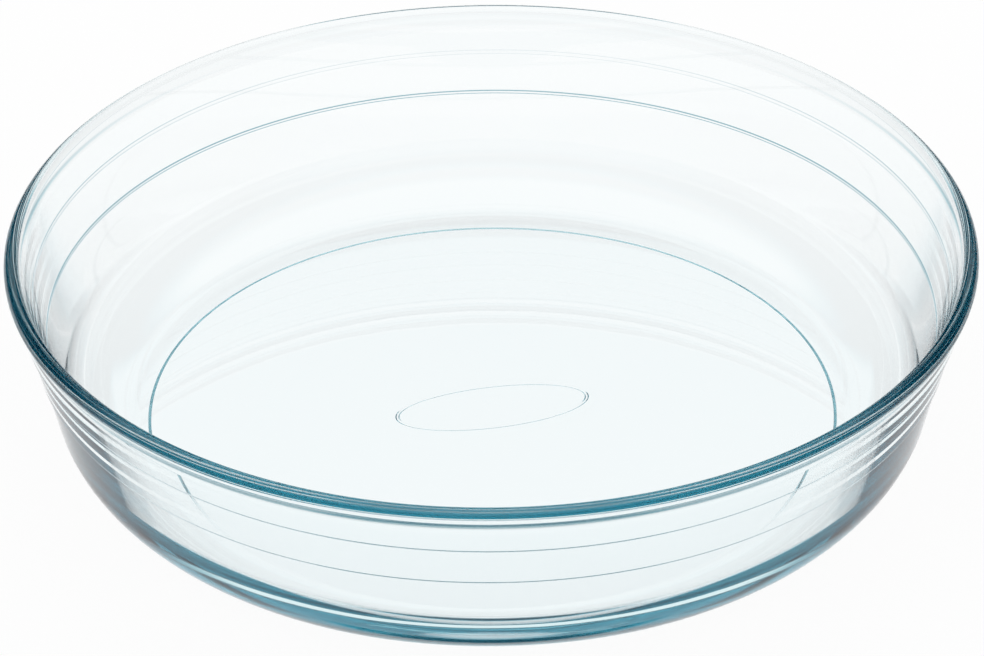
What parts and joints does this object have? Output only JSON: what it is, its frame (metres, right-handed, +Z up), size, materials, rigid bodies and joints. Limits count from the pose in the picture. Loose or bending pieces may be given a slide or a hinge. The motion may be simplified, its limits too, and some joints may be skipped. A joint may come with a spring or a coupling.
{
  "type": "round cake pan",
  "caption": "Round cake pan of clear pressed glass: a flat floor, a deep rounded corner, a leaning stepped wall and a rolled rim.",
  "frame": {"origin": "centre of the circle that the pan stands on, at the height of the table", "axes": "+Z up along the pan's axis of revolution; the oval line on the underside is turned 12 degrees from +X towards +Y"},
  "size_m": [0.26, 0.26, 0.0586],
  "materials": {
    "glass": "fire-polished clear glass with a blue-green edge tint"
  },
  "bodies": {
    "root": {"cake_pan": "glass"}
  },
  "joints": []
}
